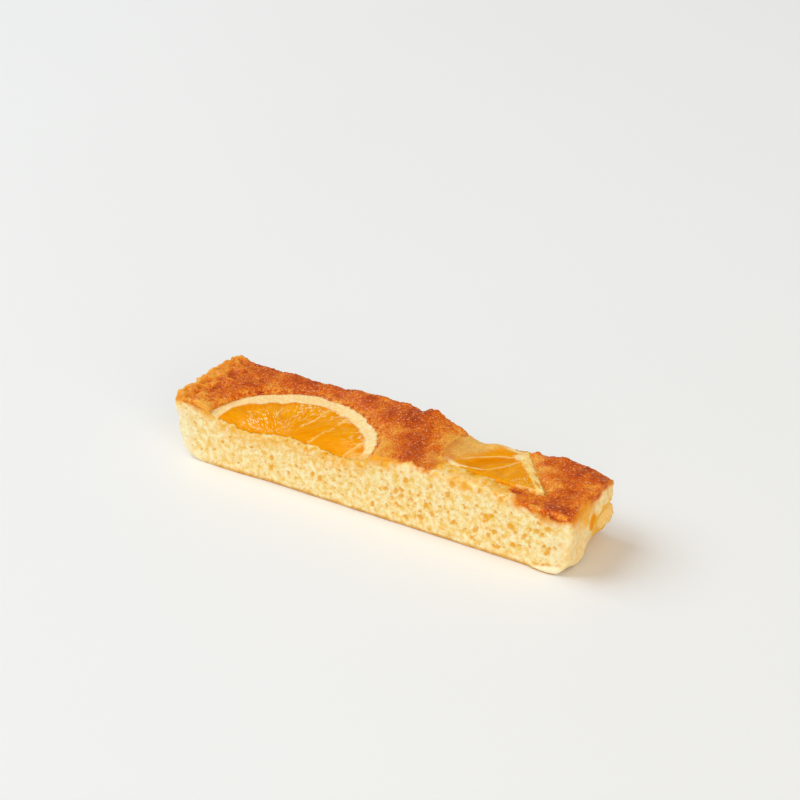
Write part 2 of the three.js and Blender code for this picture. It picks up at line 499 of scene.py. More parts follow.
# %% Which way each vertex faces
points, normals = read(sponge)
x, y, z = points.T
front_face = y.min()
left_end = x.min()
right_end = x.max()
up_share = ease(0.3, 0.7, normals[:, 2])
cut_share = ease(0.55, 0.9, np.abs(normals[:, 1]))
end_share = ease(0.5, 0.85, np.abs(normals[:, 0]))
print("sponge vertices:", len(points))

# %% Torn crumb on the top and crust over the front edge
# Where the crust of the top ends towards the front face
CRUMB_LINE_X = (2, 5.5, 10, 14, 19, 24, 28, 32, 36, 39, 42, 45.5, 49.5)
CRUMB_LINE_Y = (-15.0, -12.8, -12.1, -11.8, -13.2, -11.4, -12.0, -11.0, -10.0, -9.0, -9.4, -11.1, -15.0)
# How far down the front face the crust hangs
DRIP_X = (-64, -60, -55, -52.5, -51, 46, 49.5, 52, 56, 58, 60, 63)
DRIP_Z = (19.0, 18.4, 17.3, 16.5, 25, 25, 18.8, 18.3, 17.6, 17.2, 17.9, 18.6)

crumb_line = np.interp(x, CRUMB_LINE_X, CRUMB_LINE_Y) + 0.9 * lumps(points, 2.4, 23.0, 2)
before_slice = ease(19, 22, x) * ease(43.5, 41, x) * ease(right_low.y + 1.5, right_low.y + 0.5, y)
torn = up_share * np.maximum(ease(0.4, -0.4, y - crumb_line), before_slice)
drip_line = np.interp(x, DRIP_X, DRIP_Z) + 1.2 * lumps(points, 2.6, 21.0, 2)
drip = ease(front_face + 3, front_face + 1, y) * ease(-0.5, 0.3, z - drip_line)
print("torn vertices:", (torn > 0.5).sum(), "in drips:", (drip > 0.5).sum())

# %% Prints of the slices and distances to them
TOP_LOWEST = 13.0
PRINT_DEPTH = 0.6

tops = slice_top(points)
bare = bareness(points)
in_print = (tops > 0) & (z > tops - PRINT_DEPTH) & (normals[:, 2] > 0.2) & (bare > 0)
bared = in_print * ease(0, 1, bare)
on_top = (up_share > 0.5) & ~in_print & (torn < 0.5) & (z > TOP_LOWEST)
fruit_gap = np.array([fruit.find_nearest(Vector(point))[3] for point in points])
crust_gap = gap_to(points, on_top | (drip > 0.5))
print_gap = gap_to(points, in_print)
print("vertices in the prints of the slices:", in_print.sum())

# %% Bubbles opened by the knife
BUBBLES = [
    {"spacing": 3.2, "smallest": 0.5, "largest": 1.25, "seed": 3.0},
    {"spacing": 1.7, "smallest": 0.3, "largest": 0.7, "seed": 11.0},
]
# Spreads the centres of cells far apart, so that each one draws its own random number
SCATTER = 53.7
STIR_SEED = 5


def bubble_share(place, spacing, smallest, largest, seed):
    """How far inside a bubble a place lies, from 0 at the wall to 1 in the middle."""
    shift = Vector((seed, seed, seed))
    scale = 0.75 + 0.25 * ease(-30, 15, place.x)
    _, centres = noise.voronoi(place / spacing + shift)
    shares = [0.0]
    for centre in centres[:2]:
        gap = (place - (centre - shift) * spacing).length
        radius = smallest + (largest - smallest) * noise.cell(centre * SCATTER) ** 2
        shares.append(1 - gap / scale / radius)
    return max(shares)


# A bubble isn't quite round, so places are stirred before they are tested, in the same way each run
noise.seed_set(STIR_SEED)
stirs = [
    0.4 * noise.noise_vector(point / 0.8) + 0.5 * noise.noise_vector(point / 2)
    for point in map(Vector, points)
]
stirred = points + np.array(stirs)
hole = np.zeros(len(points))
for i in np.flatnonzero(cut_share + end_share + torn > 0.05):
    hole[i] = max(bubble_share(Vector(stirred[i]), **bubble) for bubble in BUBBLES)
print("vertices in small bubbles:", (hole > 0).sum())

# %% Large bubbles on the front face
# Place along the bar, height and radius of each
LARGE_BUBBLES = [
    (-31.2, 5.1, 1.0), (-25.3, 5.2, 0.8), (-17.7, 7.2, 0.9), (-15.2, 6.5, 0.8), (6.4, 10.1, 0.9),
    (9.8, 10.6, 1.0), (8.6, 7.7, 0.8), (10.0, 5.9, 0.9), (19.7, 8.7, 1.0), (17.6, 4.2, 0.9),
    (31.3, 18.4, 1.5), (27.5, 17.7, 1.1), (26.3, 14.3, 0.9), (35.6, 18.2, 0.8), (38.2, 10.9, 1.2),
    (28.2, 6.7, 0.8), (45.7, 10.4, 1.0), (40.6, 7.3, 0.9), (34.7, 6.0, 0.9), (46.4, 4.9, 1.1),
    (42.0, 3.3, 0.8), (53.4, 11.7, 0.8), (56.9, 6.3, 0.8), (55.6, 7.6, 0.6),
]

for bubble_x, bubble_z, radius in LARGE_BUBBLES:
    gap = np.hypot(stirred[:, 0] - bubble_x, stirred[:, 2] - bubble_z)
    hole = np.maximum(hole, (y < 0) * (1.15 - gap / radius))
open_share = np.max([cut_share, 0.2 * end_share, torn], axis=0)
open_share = open_share * ease(0.3, 1.4, crust_gap) * ease(0.4, 2.2, z)
open_share *= ease(right_end + 1, right_end - 7, x)
hole = ease(0, 0.5, hole) * open_share
print("share of the cut faces that is open:", round(np.mean(hole[cut_share > 0.5] > 0.3), 2))

# %% Grain, lip and flake
# Top of the loose flake at the foot of the front face
FLAKE_X = (50, 53, 60)
FLAKE_Z = (1.0, 1.5, 3.0)

rim = ease(15, 2, x - left_end) * up_share
coarse = lumps(points, 3.4, 5.0, 2)
knobs = 0.35 - np.abs(coarse)
grain = lumps(points, 1.0, 9.0, 3)
crumb_grain = lumps(points, 0.8, 33.0, 2)
over_line = np.where(y < 0, z - rolled(points, tops) - flesh_line(points), 2.0)
lip = (tops > 0) * slice_span(points) * bell((y - left_low.y) / 0.9) * ease(-8, 0.2, over_line)
bite = lumps(points * ALONG, 3.0, 79.0, 2) + 0.5 * lumps(points * ALONG, 0.9, 80.0, 2)
left_lap = bared * ease(left_low.y + 0.4, left_low.y + 1.6, y)
lap = np.where(x < left_high.x, left_lap, in_print * ease(-0.4, 0.6, crust_gap + 0.5 * grain))

flake_top = np.interp(x, FLAKE_X, FLAKE_Z) + 0.3 * crumb_grain
flake = ease(51.5, 54.5, x) * ease(61.5, 60, x) * ease(front_face + 3, front_face + 2, y) * (z < 6)
crack = flake * bell((z - flake_top) / 0.35)
flake *= ease(0.1, -0.5, z - flake_top) * ease(0.3, 0.8, z)
print("vertices on the flake:", (flake > 0.5).sum())

# %% The sponge's relief
HOLE_DEPTH = 0.32
FLAKE_RISE = 0.25
CRACK_DEPTH = 0.4
CRUST_RISE = 0.45
CRUST_GRAIN = 0.22
RIM_KNOBS = 1.9
LIP_DEPTH = 1.25
LIP_BITE = 1.1
LAP_DEPTH = 1.3
BANK_DEPTH = 0.7

push = FLAKE_RISE * flake - CRACK_DEPTH * crack - HOLE_DEPTH * hole
raised = CRUST_RISE * ease(-6, 2, y) * ease(0.3, 3.0, fruit_gap)
bank = ease(4.0, 0.6, fruit_gap) * ease(2, -2, y) * ease(right_low.x - 4, right_low.x, x) * ease(56, 52, x)
push += up_share * (1 - bared) * (raised + CRUST_GRAIN * grain + RIM_KNOBS * rim * knobs)
push += drip * (0.3 + 0.9 * coarse)
push += (0.08 * cut_share + 0.2 * torn) * crumb_grain
push += 0.9 * ease(4, 1, x - left_end) * ease(-7, -13, y) * ease(11, 16, z)
end_upper = ease(9, 12, z)
push += end_share * (0.06 * crumb_grain + (0.2 + 0.4 * end_upper) * coarse + 0.2 * end_upper * grain)
end_bulge = 0.3 * ease(9, 13, z) * ease(-2, 6, y) + 1.9 * bell((y + 6) / 4.5) * ease(8, 1, z)
push += end_share * (x > 0) * end_bulge
push += cut_share * (y < 0) * 0.7 * ease(2.5, 0, z) * ease(-30, -45, x)

moved = points + normals * push[:, None]
moved[:, 2] += swell(points) - rolled(points, tops) - lip * (LIP_DEPTH + LIP_BITE * bite)
moved[:, 2] -= LAP_DEPTH * lap + BANK_DEPTH * bank * up_share * ~in_print
moved[:, 2] = np.maximum(moved[:, 2], 0)
write(sponge, moved)
print("pushed from", round(push.min(), 2), "to", round(push.max(), 2), "mm")

# %% [markdown]
# ## What the oven did to the surface
#
# The crust is dark along the back and on the hump, and pale next to the fruit, along the left rim and where
# juice has soaked in. On the knobs of the left rim the tops are painted paler and the hollows darker, as
# painted highlight and shade. Painting masks by hand would do it. Here each mask is a rule on place: how far
# from the crust, how near to the fruit, how near to the bottom, with a few dark and pale patches set where
# the real bar has them.

# %% How brown the crust is
# Each patch has its x and y, how far it reaches, and how much darker or paler it is
BROWN_PATCHES = [
    (-34, 10, 13, 0.13), (-52, 4, 6, 0.15), (-57, -6, 3, 0.2), (0, 9, 8, 0.13), (6.5, -2.5, 5, 0.2),
    (11.8, -7.7, 4, 0.15), (51, 8, 6, 0.15), (55, 5, 4, 0.2), (44.5, -10, 2, 0.25), (56, -13, 3, 0.2),
    (58.5, -13, 2.5, 0.35), (3, -7, 4, -0.45), (5, -12.5, 3, -0.5), (17, -3.5, 3.5, -0.45),
    (16.5, 8, 4, -0.4), (51, -1.5, 4, -0.28), (60, 3, 2.5, -0.25), (57, 0, 3, 0.2), (2, 0, 3, -0.3),
    (40, 10, 2.5, -0.3), (44.5, 5, 2, -0.35), (53, -14, 2, -0.25), (48, 4.5, 3, -0.4),
    (18.5, -5.5, 2.5, -0.3), (17, -10, 2, -0.25), (-52.5, -13, 1.8, -0.4), (-50.5, -13, 1.8, -0.3),
    (-59, 7, 2, -0.2), (-13, 9, 3, 0.32), (14, -1, 3, -0.15), (16, 3.5, 3.5, -0.35),
    (-62.5, -9, 4, -0.2), (59.5, -10, 2.5, 0.3), (-61.3, 14.5, 2, -0.35),
]

brown = 0.58 + 0.22 * lumps(points, 8.0, 41.0, 2) + 0.2 * lumps(points, 2.4, 43.0, 2) + 0.15 * grain
for middle_x, middle_y, reach, change in BROWN_PATCHES:
    brown += change * spot(x, y, middle_x, middle_y, reach)
brown -= 0.28 * bell(print_gap / 1.6)
burnt_edge = bell((print_gap - 0.3) / 0.4) * up_share * (x < left_high.x + 1)
brown += 0.45 * burnt_edge * ease(-0.3, 0.2, grain) * ease(-52, -47, x)
# Knob tops on the left rim are painted paler and the hollows between them darker, as painted highlight and
# shade; the top is also paler within 2 mm of the left end
brown -= rim * knobs + 0.2 * ease(2.0, 0.4, x - left_end) * up_share
brown += drip * (0.5 * coarse - 0.2 + 0.2 * bell((x - 57) / 2.5))
print("brown patches:", len(BROWN_PATCHES))

# %% Where the crust lies
# Where the crust ends at the right end, along y
CRUST_END_Y = (-14, -6, 0, 6, 9, 12)
CRUST_END_X = (63.6, 62.6, 63.5, 63.1, 62.1, 61.5)
# Bare crumb and paler crust at the right slice's tip: x, y and reach
TIP_CRUMB = (19.7, -6.4, 2)
TIP_PALE = (18.5, -5, 3)

wander = lumps(points, 2.2, 51.0, 2)
over_end = 1.4 * ease(58, 62, x) * bell((y - 3) / 4) - 0.5 * ease(-57, -61, x)
crust = np.maximum(ease(0.9, 0.1, crust_gap - over_end + 0.4 * wander), drip)
under_fruit = in_print * (y > left_low.y + 2)
crust = np.maximum(crust, under_fruit)
brown += under_fruit * bared * (0.3 - brown)
by_right = (x > left_high.x + 2) * bell(print_gap / 1.2) * (1 - before_slice)
crust = np.maximum(crust, by_right) * (1 - 0.8 * spot(x, y, *TIP_CRUMB))
brown += by_right * (0.35 - 0.25 * spot(x, y, *TIP_PALE) - brown)
crust_end = np.interp(y, CRUST_END_Y, CRUST_END_X)
crust *= ease(0.6, -0.6, x - crust_end + 0.6 * wander)
crust *= 1 - before_slice
print("brown on the crust:", round(brown[crust > 0.5].mean(), 2))

# %% Toasted crumb next to the crust
at_end = end_share * (x > 0)
by_drips = ease(34, 42, x) * ease(48, 45, x) + ease(50, 54, x) * ease(63, 59, x)
toast_reach = 2.4 + 1.2 * by_drips + 1.4 * bell((x - 5) / 6) - 1.5 * ease(-57.5, -61, x)
toast_reach += at_end * 4.5 * ease(5, -3, y) * ease(-14.5, -10, y)
toast = ease(toast_reach, 0.2, crust_gap + 0.9 * wander)
toast *= 1 - 0.8 * ease(-0.3, 0.6, x - crust_end) * ease(4, 8, y)
print("toasted vertices:", (toast > 0.5).sum())

# %% Crumb soaked with juice
# Place and reach of each stain
STAINS = [
    (41.5, -12, 18.7, 2.2), (38, -9.5, 18, 1.8), (6.5, -14.5, 17.5, 1.8), (28, -13.5, 19.5, 2.0),
    (30.5, -14.8, 18, 1.3), (-53.3, -14.9, 15.8, 1.8),
]
# A wet place on the right end, above its piece of fruit
WET_Y = -5
WET_Z = 13.6
WET_REACH = 2.8

patchy = ease(-0.35, 0.35, lumps(points, 1.5, 55.0, 3))
from_ridge = np.hypot(y - right_low.y, 1.6 * np.minimum(z - right_high.z, 0))
by_ridge = before_slice * ease(9, 2, from_ridge + 1.5 * wander)
along_slice = (y < 0) * ease(left_low.x, left_low.x + 3, x) * ease(left_high.x + 6, left_high.x + 1, x)
to_right = ease(-28, -18, x)
wet = 0.8 + 2.4 * to_right
under_slice = along_slice * ease(1, 0.1, (0.6 * wander - over_line) / wet)
under_slice = under_slice * (0.1 + 0.2 * to_right + 0.7 * patchy) * (1 - up_share)
by_piece = at_end * np.maximum(
    ease(3.4, 1.0, fruit_gap + 0.8 * wander),
    bell((np.hypot(y - WET_Y, z - WET_Z) + 0.8 * wander) / WET_REACH),
)
stain = np.zeros(len(points))
for *middle, reach in STAINS:
    gap = np.linalg.norm(points - middle, axis=1)
    stain = np.maximum(stain, 0.9 * bell((gap + 0.5 * wander) / reach))
soak = np.max([
    under_slice,
    lip * (0.2 + 0.5 * patchy),
    by_ridge * (0.55 + 0.45 * patchy),
    0.9 * by_piece,
    stain,
], axis=0)
print("soaked vertices:", (soak > 0.5).sum())

# %% Bottom, a loose flake, painted light at two edges and the strip of fruit in the end
STRIP_Y = 0.1
STRIP_Z = 10.3
STRIP_LEAN = 0.5
STRIP_WIDTH = 2.4
STRIP_HEIGHT = 3.1

# The bottom crust's colour fades out towards the left end, where the lower corner is painted light
base = ease(1.6, 0.3, z + 0.4 * lumps(points, 3.0, 61.0)) * (1 - flake) * ease(-58, -46, x)
# The bubbles and the crack over the flake are painted a darker gold: painted shade in these hollows
pore = np.maximum(hole, crack * ease(-0.3, 0.2, crumb_grain)) * (1 - flake)
# Painted light: the front face is painted paler near its right edge and near its left end and foot; the loose
# flake has its own pale crumb
lit_edge = cut_share * ease(54, 59, x) * ease(13, 10, z)
lit_foot = cut_share * np.maximum(ease(-56, -62, x) * ease(17, 14, z), ease(-50, -58, x) * ease(4, 1, z))
pale = np.max([flake, 0.35 * lit_edge, 0.6 * lit_foot], axis=0) * (y < 0)
skin = np.maximum(end_share, ease(0.5, 0.9, -normals[:, 2]))
strip_gap = np.hypot((y - STRIP_Y) / STRIP_WIDTH, (z + STRIP_LEAN * y - STRIP_Z) / STRIP_HEIGHT)
end_strip = at_end * ease(1.2, 0.8, strip_gap + 0.2 * wander)
paint(
    sponge, crust=crust, toast=toast, brown=brown, pore=pore, soak=soak, base=base, skin=skin, pale=pale,
    pulp=end_strip,
)
print("vertices on the strip:", (end_strip > 0.5).sum())

# %% [markdown]
# ## The left slice
#
# A half-moon of orange: a ring of pith round segments of flesh, with thin pale membranes that meet near the
# front face. Each segment is packed with juice sacs that run out from the core. The knife and the oven have
# rounded its front edge, and crumb covers part of it. The solid's copy is remeshed and its sacs are pushed
# out.

# %% Juice sacs
SLICE_VOXEL = 0.3
SIDE_GROW = 0.3
SAC_LENGTH = 4.2
SAC_ANGLE = math.radians(3.6)
SAC_RISE = 0.2


def juice_sacs(radius, angle, seed):
    """Height, nearness to a wall and a random number for sacs laid out along rays from a core."""
    places = np.stack([radius / SAC_LENGTH, angle / SAC_ANGLE, np.full_like(radius, seed)], 1)
    found = [noise.voronoi(place) for place in places]
    near = np.array([gaps[0] for gaps, _ in found])
    next_near = np.array([gaps[1] for gaps, _ in found])
    random = np.array([noise.cell(centres[0] * SCATTER) for _, centres in found])
    return np.clip(1 - near ** 2, 0, 1), ease(0.2, 0.02, next_near - near), random


print("a sac is", SAC_LENGTH, "mm long and", round(20 * SAC_ANGLE, 2), "mm wide at 20 mm from the core")

# %% Left slice: pith, membranes and sacs
LEFT_CORE = (-27.3, -17.4)
LEFT_MEMBRANES = [
    [(-42.8, -7.5), (-40.5, -9.5), (-38.5, -12.5)],
    [(-35.5, -1.6), (-34.6, -4.5), (-33.5, -8)],
    [(-22.5, 2.1), (-23, -4), (-24.7, -9.1)],
    [(-15.3, 0.4), (-16.6, -7.5), (-18.8, -14)],
    [(-4.2, -8.6), (-7.8, -14.6)],
]
# Distance from the slice's edge to the inner edge of its pith
PITH_X = (-49, -47, -44.5, -41, -37, -29, -25, -17, -13, -9, -4.5, -2.5)
PITH_INNER = (3.0, 2.8, 4.1, 5.2, 5.4, 5.2, 5.5, 5.9, 5.5, 5.1, 4.3, 3.6)

left_slice = copy_of("orange_slice_left", "orange_slice_left_cut")
even(left_slice, SLICE_VOXEL)
points, normals = read(left_slice)
x, y, z = points.T
tops = slice_top(points)
top_share = ease(0.4, 0.8, normals[:, 2])
from_rim = left_rim(points)
from_pith = from_rim - np.interp(x, PITH_X, PITH_INNER)
from_crust = from_rim - np.interp(x, COVER_X, COVER)
wander = lumps(points, 4.0, 71.0, 2)
fray = lumps(points, 1.0, 73.0, 2)

syrup = ease(-11.5, -13, y) * ease(-8, -4, x)
pith = ease(0.5, -0.3, from_pith + 0.6 * wander) * (1 - 0.8 * syrup) * (0.88 + 0.12 * ease(-25, -8, x))
flesh = 1 - pith
radius, angle = polar(x, y, LEFT_CORE, -math.pi / 2)
sacs, walls, random = juice_sacs(radius, angle + 0.03 * wander, 2.5)
walls *= ease(8, 16, radius)
gaps = [path_gap(x + 0.6 * fray, y + 0.3 * wander, path) for path in LEFT_MEMBRANES]
notch = ease(3.5, 0.5, from_pith)
membrane = bell(np.min(gaps, axis=0) / (0.25 + 0.4 * notch))
membrane = membrane * np.maximum(ease(-0.5, 0.2, lumps(points, 3.0, 77.0)), notch)
print("left slice vertices:", len(points), "flesh share:", round(flesh.mean(), 2))

# %% Left slice: relief and masks
RUN_SPAN = 50
# Places with bright flecks, pale sac walls with painted glints on them, and how far they reach
FLECK_AND_GLINT_SPOTS = [
    (-39, -12, 3), (-36, -9, 4.5), (-32, -12, 5), (-28, -1, 5), (-24, 2, 4), (-20, 2, 3.5),
    (-13, -1, 3), (-7, -6, 3.5),
]

fleck = np.zeros(len(x))
for middle_x, middle_y, reach in FLECK_AND_GLINT_SPOTS:
    fleck = np.maximum(fleck, spot(x, y, middle_x, middle_y, reach))

lift = top_share * (flesh * (SAC_RISE * sacs - 0.1) + 0.2 * flesh * membrane + 0.15 * pith * wander)
tucked = ease(left_low.y + 1.4, left_low.y + 0.2, y)
moved = points + normals * (SIDE_GROW * (1 - top_share))[:, None]
moved[:, 1] = np.maximum(moved[:, 1], left_low.y) + 0.4 * tucked
moved[:, 2] += lift + swell(points) - rolled(points, tops) - 0.1 * ease(1.3, 0.0, from_rim) * top_share
write(left_slice, moved)
paint(
    left_slice, pith=pith, membrane=membrane * flesh, fibre=np.zeros(len(x)), wall=walls * flesh,
    random=random, fleck=fleck * top_share, film=syrup, deep=ease(3, 0, from_pith),
    rim=ease(0.6, 0.2, from_crust + 0.5 * fray) * ease(-51, -45, x),
    run=radius / RUN_SPAN, turn=angle / (2 * math.pi),
)
print("places with flecks:", len(FLECK_AND_GLINT_SPOTS))

# %% [markdown]
# ## The right slice
#
# This half-moon lies in a dip with its core at the back. A pale band of pith closes it at the right, a thin
# pale line at the front, and at the left a sheet of membrane covers the flesh and turns it yellow. It is
# made as the left slice is, with its own rules for where each part lies.

# %% Right slice: pith, membranes and film
RIGHT_CORE = (35.2, 9.6)
UPPER_MEMBRANE = [(34.3, 8.6), (31.6, 7.4), (28.8, 4.8), (26.3, 1.8), (23.9, -2.1)]
LOWER_MEMBRANE = [(36.5, 7.0), (35.9, 5.8), (35.4, 2.2), (34.0, -1.3), (32.2, -4.0)]
RIGHT_BAND = [(36.2, 11.5), (38.6, 6.8), (42.2, 2.9), (45.4, -0.6), (50.6, -7.2)]
FRONT_RIDGE = [(43.5, -7.2), (51.2, -7.2)]
TIP = [(20.5, -6.0), (24.5, -6.8), (27.3, -6.3), (30.0, -5.0), (32.2, -4.0)]

right_slice = copy_of("orange_slice_right", "orange_slice_right_cut")
even(right_slice, SLICE_VOXEL)
points, normals = read(right_slice)
x, y, z = points.T
wander = lumps(points, 4.0, 81.0, 2)
fray = lumps(points, 1.5, 83.0, 2)
top_share = ease(0.4, 0.8, normals[:, 2])
radius, angle = polar(x, y, RIGHT_CORE, math.pi / 2)

band_gap = path_gap(x, y, RIGHT_BAND) - 0.5 * ease(-6, 8, y)
fibre = lumps(np.stack([radius / 5, angle * 24, 0 * x], 1), 1.0, 87.0, 2)
band = ease(0.5, 0.0, band_gap - 0.8 + 0.4 * fray) * ease(-0.5, 0.1, fibre)
ridge = 0.45 * ease(0.4, 0.05, path_gap(x, y + 0.3 * wander, FRONT_RIDGE))
tip = ease(0.5, 0.0, path_gap(x, y, TIP) - 0.8 * ease(29, 21, x) + 0.3 * fray)
core = ease(2.4, 1.2, radius + 0.6 * fray)
back_edge = ease(right_high.y - 2.4, right_high.y - 1.0, y) * bell((x - 32) / 3.5)
pith = np.max([0.2 * band, ridge, tip, core, back_edge], axis=0)
film_edge = 23.8 + 0.35 * (y + 2)
film = ease(1.5, -2.0, x - film_edge + 0.8 * wander) * ease(-0.1, 0.3, normals[:, 2])
upper_gap = path_gap(x, y, UPPER_MEMBRANE)
lower_gap = path_gap(x, y, LOWER_MEMBRANE)
membrane = np.maximum(bell(upper_gap / 0.25), bell(lower_gap / 0.25))
print("right slice vertices:", len(points), "film share:", round(film.mean(), 2))

# %% Right slice: relief and masks
SMOOTH_PATH = [(33.5, 6.5), (30.0, 2.0), (28.0, -3.0)]
RIGHT_FLECKS_AND_GLINTS = (43, -2, 5)
RAGGED = 0.8

smooth = ease(2.6, 1.4, path_gap(x, y, SMOOTH_PATH))
sacs, walls, random = juice_sacs(radius, angle, 6.5)
flesh = (1 - pith) * (1 - film)
pulp = flesh * (1 - smooth)
fleck = 0.5 * pulp * spot(x, y, *RIGHT_FLECKS_AND_GLINTS)
side_gap = gap_to(points, normals[:, 2] < 0.3)

relief = pulp * (SAC_RISE * sacs - 0.1) - 0.25 * smooth * flesh + 0.15 * membrane
relief += 0.35 * np.maximum(ridge, band) + 0.2 * wander
relief += film * (0.3 + 0.2 * ease(0.3, 2.5, side_gap))
ragged = RAGGED * fray * ease(0.5, 0.2, normals[:, 1])
moved = points + normals * ((SIDE_GROW + ragged) * (1 - top_share))[:, None]
moved[:, 2] += top_share * relief + swell(points)
write(right_slice, moved)
paint(
    right_slice, pith=pith, membrane=membrane * (1 - pith), fibre=band, wall=walls * pulp, random=random,
    fleck=fleck, film=film, deep=smooth * flesh,
    rim=0.75 * film * ease(4.2, 0.3, side_gap + 0.8 * fray) * ease(9, 5, y),
    run=radius / RUN_SPAN, turn=angle / (2 * math.pi),
)
print("bare flesh share:", round(pulp.mean(), 2))

# %% [markdown]
# ## The piece in the end
#
# A small lump of orange shows in the right end: bare flesh at its front and back, and pulp under a thin
# membrane between them. It has no clear inner parts, so its copy is only made uneven and pressed a little
# flatter and narrower.

# %% End piece
END_SQUASH = 0.8
END_NARROW = 0.92

end_piece = copy_of("orange_piece_end", "orange_piece_end_cut")
even(end_piece, SLICE_VOXEL)
points, normals = read(end_piece)
x, y, z = points.T
wander = lumps(points, 2.6, 91.0, 2)
moved = points + normals * (0.1 + 0.6 * wander + 0.3 * lumps(points, 1.2, 93.0, 2))[:, None]
end_middle = (end_low.z + end_high.z) / 2
moved[:, 2] = end_middle + END_SQUASH * (moved[:, 2] - end_middle)
moved[:, 1] = end_low.y + END_NARROW * (moved[:, 1] - end_low.y)
write(end_piece, moved)

strip = np.maximum(ease(2.2, 1.4, y - end_low.y + 0.5 * wander), ease(0.4, 0.9, normals[:, 1]))
veiled = 1 - strip
none = np.zeros(len(x))
paint(
    end_piece, pith=0.3 * veiled, membrane=0.3 * veiled * ease(-0.5, 0.3, wander), fibre=0.5 * veiled,
    wall=none, random=none + 0.5, fleck=none, film=veiled, deep=strip, rim=none, run=none, turn=none,
)
print("end piece vertices:", len(points))

# %% [markdown]
# ## Materials
#
# Crumb is matt and lets light in a little way, so its holes glow golden instead of turning grey, and they are
# painted a golden shade as well. Crust is caramel coloured sugar and egg, with a faint gloss on its grain and
# painted glints on its sugar. Orange flesh is wet and clear, with painted glints among its pale flecks, pith
# is dry and milky. Image textures could hold all that, but nodes stay sharp at any distance. Each colour is
# painted over the ones before it through a mask, like thin coats of paint.


# %% Coats of colour
def coats(tree, colour, layers):
    """Mixes each colour of the layers over the one before it, through its mask."""
    for mask, over in layers:
        colour = add(tree, "ShaderNodeMix", {0: mask, 6: colour, 7: over}, data_type="RGBA")[2]
    return colour


print("colours are laid on in coats")

# %% Sponge: patterns of crumb and crust
# Baked butter sponge, cut with a knife: the eye sees soft pale crumb with golden holes in painted shade,
# under a brown sandy crust with a faint gloss and painted glints
CRUMB_MOTTLE = 1.8 * MM
CRUST_GRIT = 0.45 * MM
# Sugar grains are about 0.5 mm wide and pin pricks less, too fine to show here, so both are drawn coarser:
# the grains as pale dots of painted glint, the pricks as dots of painted shade
GLINT_SPACING = 0.85 * MM
PRICK_SPACING = 1.1 * MM

sponge_material, tree = new_material("baked_butter_sponge")
mask = {
    name: add(tree, "ShaderNodeAttribute", {}, attribute_name=name)[2]
    for name in ("crust", "toast", "brown", "pore", "soak", "base", "skin", "pale", "pulp")
}
place = add(tree, "ShaderNodeTexCoord", {})[3]
fine = add(tree, "ShaderNodeTexNoise", {
    "Vector": place, "Scale": 1 / CRUMB_MOTTLE, "Detail": 4.0, "Roughness": 0.6,
})[0]
spread = add(tree, "ShaderNodeMapRange", {0: fine, 1: 0.35, 2: 0.63})[0]
grit = add(tree, "ShaderNodeTexNoise", {"Vector": place, "Scale": 1 / CRUST_GRIT, "Detail": 1.0})[0]
speckle = add(tree, "ShaderNodeMapRange", {0: grit, 1: 0.3, 2: 0.7, 3: -0.25, 4: 0.25})[0]
shade = add(tree, "ShaderNodeMath", {0: mask["brown"], 1: speckle}, operation="ADD")[0]
# Painted shade: the bubbles are tinted a darker gold
pore_tint = add(tree, "ShaderNodeMath", {0: mask["pore"], 1: 0.85}, operation="MULTIPLY")[0]

# Painted glints: pale peach dots on some sugar cells, where light catches the grains
sugar = add(tree, "ShaderNodeTexVoronoi", {"Vector": place, "Scale": 1 / GLINT_SPACING})
glint_dot = add(tree, "ShaderNodeMapRange", {0: sugar[0], 1: 0.34, 2: 0.14})[0]
chosen = add(tree, "ShaderNodeMath", {0: sugar[1], 1: 0.52}, operation="GREATER_THAN")[0]
sugar_and_painted_glint = add(tree, "ShaderNodeMath", {0: glint_dot, 1: chosen}, operation="MULTIPLY")[0]

# Pin pricks are only dots of painted shade, a darker gold on the crumb
pricks = add(tree, "ShaderNodeTexVoronoi", {"Vector": place, "Scale": 1 / PRICK_SPACING})
prick = add(tree, "ShaderNodeMapRange", {0: pricks[0], 1: 0.32, 2: 0.14, 4: 0.7})[0]
pricked = add(tree, "ShaderNodeMath", {0: pricks[1], 1: 0.5}, operation="GREATER_THAN")[0]
painted_prick_shade = add(tree, "ShaderNodeMath", {0: prick, 1: pricked}, operation="MULTIPLY")[0]
print("nodes for the patterns:", len(tree.nodes))

# %% Sponge: colours and surface
BROWNING = [
    (0.0, 0.25, "ea9834"),
    (0.2, 0.5, "dc7012"),
    (0.45, 0.75, "c45418"),
    (0.7, 1.05, "943612"),
]

cream = coats(tree, linear("f2c966"), [(spread, linear("fff1c6")), (painted_prick_shade, linear("e9ac38"))])
bottom = coats(tree, linear("d99640"), [(spread, linear("edb762"))])
baked_skin = coats(tree, linear("f2cc86"), [(spread, linear("fce5b0"))])
crumb = coats(tree, cream, [
    (mask["skin"], baked_skin),
    # Pale crumb of the flake, and painted light on the front face near its two ends
    (mask["pale"], linear("fef2d2")),
    (pore_tint, linear("efac18")),
    (mask["base"], bottom),
    (mask["toast"], linear("e8982e")),
    (mask["pulp"], linear("f29400")),
])
browning = [
    (add(tree, "ShaderNodeMapRange", {0: shade, 1: low, 2: high})[0], linear(code))
    for low, high, code in BROWNING
]
